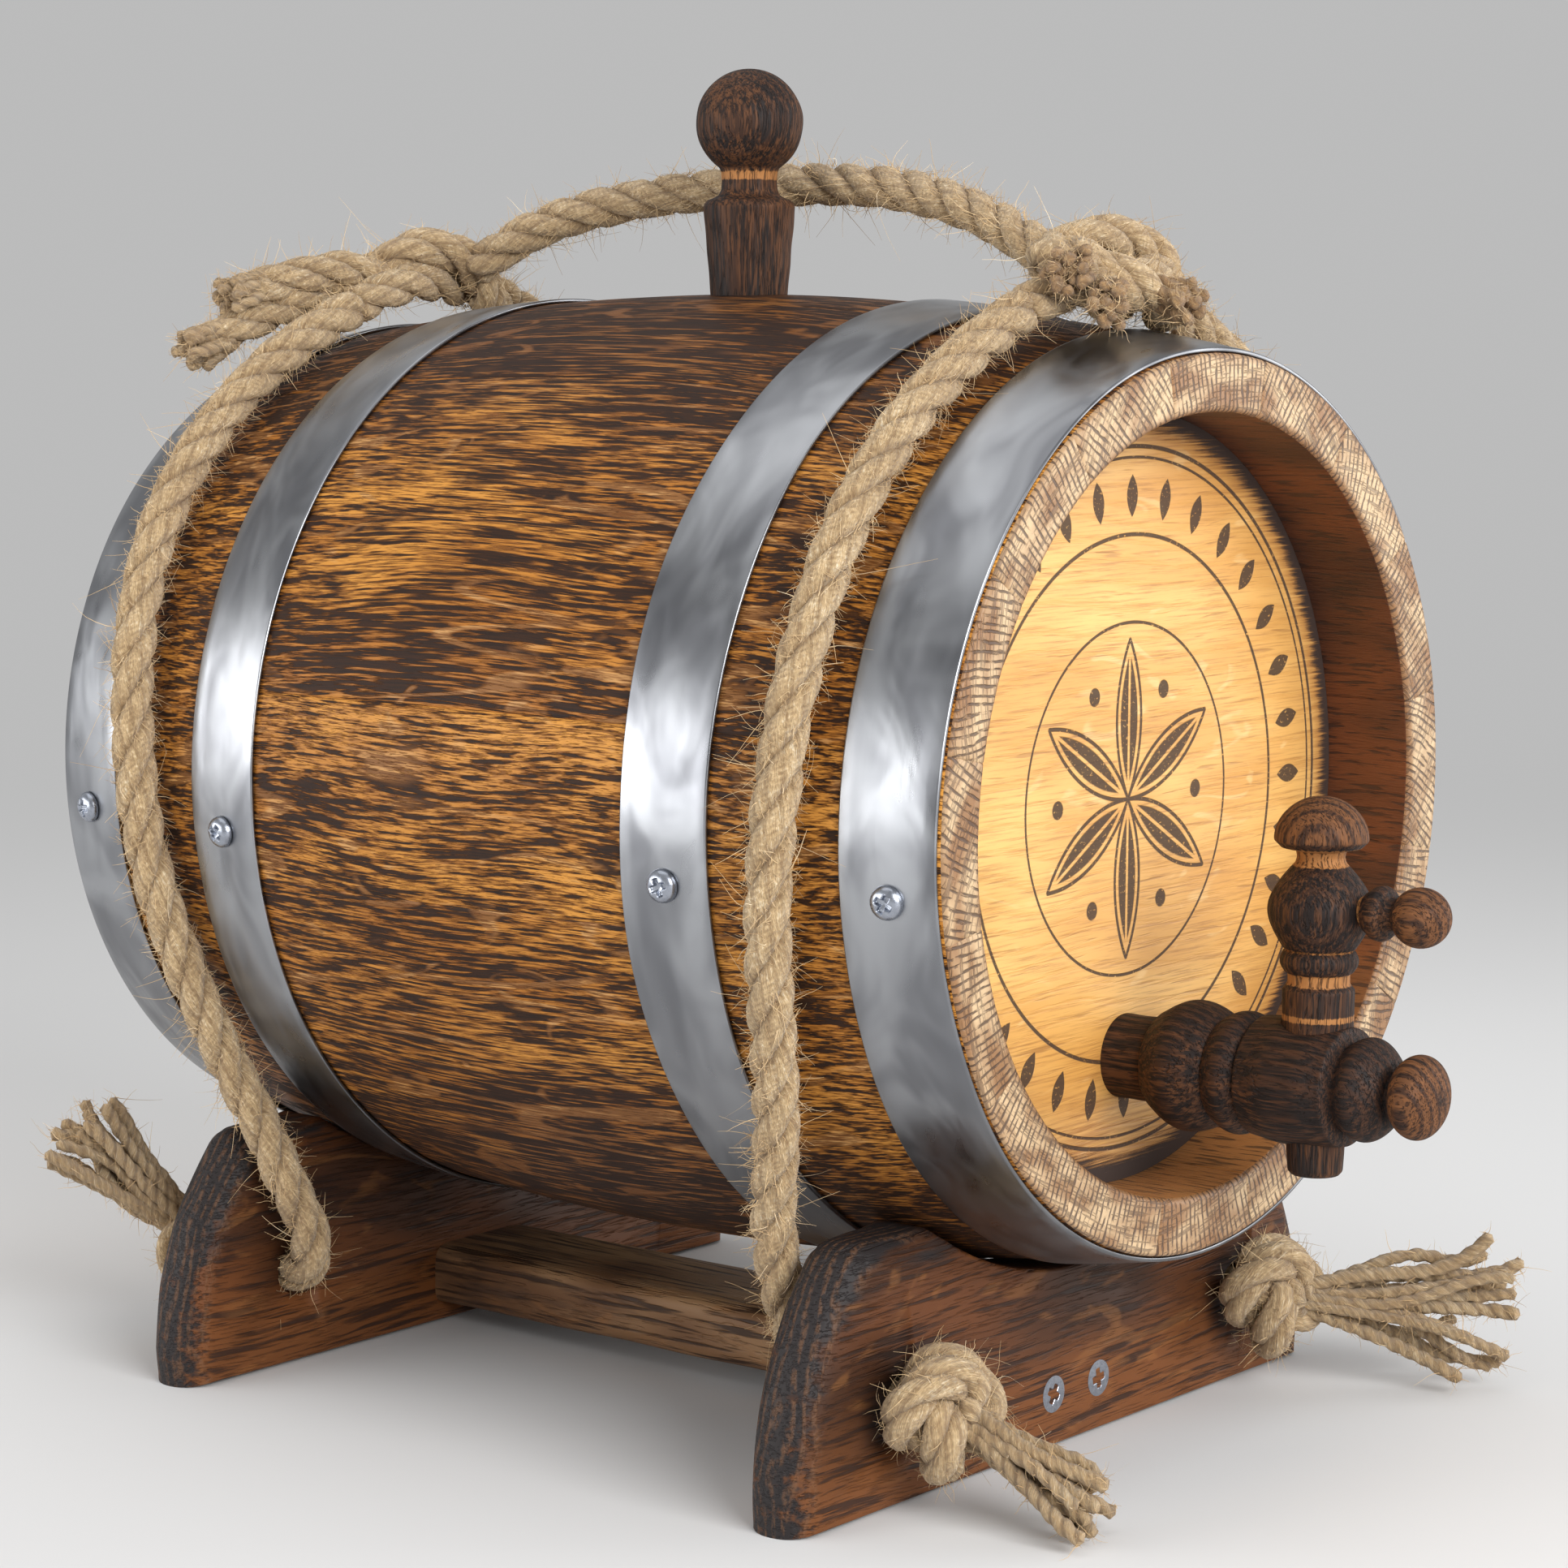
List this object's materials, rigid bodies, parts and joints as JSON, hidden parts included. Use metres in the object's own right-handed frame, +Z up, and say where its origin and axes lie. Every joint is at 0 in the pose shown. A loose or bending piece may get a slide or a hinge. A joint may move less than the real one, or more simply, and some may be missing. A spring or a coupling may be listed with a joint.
{
  "type": "oak cask liquor dispenser",
  "caption": "Small coopered cask lying on a two-board cradle, with steel hoops, a turned wooden tap with a turning key, a ball-topped bung and a lashed rope handle.",
  "frame": {"origin": "on the ground, below the middle of the object from the tap's nose to the rear stave ends", "axes": "+Z up, +Y along the cask away from the tap, +X to the right when the tap is looked at from the front"},
  "size_m": [0.2207, 0.3286, 0.296],
  "materials": {
    "stave_oak": "brushed, charred grain, satin",
    "head_oak": "smooth satin",
    "hoop_steel": "hand polished",
    "screw_chrome": "bright plated",
    "charred_oak": "charred, worn at the edges",
    "cradle_oak": "stained, charred at the edges",
    "jute": "rough, hairy"
  },
  "bodies": {
    "cask": {"stave_01": "stave_oak", "stave_02": "stave_oak", "stave_03": "stave_oak", "stave_04": "stave_oak", "stave_05": "stave_oak", "stave_06": "stave_oak", "stave_07": "stave_oak", "stave_08": "stave_oak", "stave_09": "stave_oak", "stave_10": "stave_oak", "stave_11": "stave_oak", "stave_12": "stave_oak", "stave_13": "stave_oak", "stave_14": "stave_oak", "stave_15": "stave_oak", "stave_16": "stave_oak", "front_head_top": "head_oak", "front_head_middle": "head_oak", "front_head_bottom": "head_oak", "front_head_dowels": "stave_oak", "rear_head_top": "head_oak", "rear_head_middle": "head_oak", "rear_head_bottom": "head_oak", "rear_head_dowels": "stave_oak", "head_hoop_front": "hoop_steel", "quarter_hoop_front": "hoop_steel", "quarter_hoop_rear": "hoop_steel", "head_hoop_rear": "hoop_steel", "hoop_screws": "screw_chrome", "cradle_front": "cradle_oak", "cradle_rear": "cradle_oak", "stretcher": "cradle_oak", "stretcher_screws": "screw_chrome", "rope_front_left": "jute", "rope_front_right": "jute", "rope_rear_left": "jute", "rope_rear_right": "jute", "carry_rope": "jute", "knot_front_top": "jute", "knot_rear_top": "jute", "knot_front_left": "jute", "knot_front_right": "jute", "knot_rear_left": "jute", "knot_rear_right": "jute", "tassel_front_left": "jute", "tassel_front_right": "jute", "tassel_rear_left": "jute", "tassel_rear_right": "jute", "rope_ends_front": "jute", "rope_ends_rear": "jute"},
    "bung": {"bung": "charred_oak"},
    "tap": {"tap_body": "charred_oak"},
    "key": {"tap_key": "charred_oak", "key_handle": "charred_oak"}
  },
  "joints": [
    {"name": "bung_lift", "type": "slide", "parent": "cask", "child": "bung", "axis": [0, 0, 1], "range_m": [0, 0.06]},
    {"name": "tap_pull", "type": "slide", "parent": "cask", "child": "tap", "axis": [0, -1, 0], "range_m": [0, 0.045]},
    {"name": "key_turn", "type": "hinge", "parent": "tap", "child": "key", "pos_m": [0, -0.1235, 0.085], "axis": [0, 0, 1], "continuous": true}
  ]
}
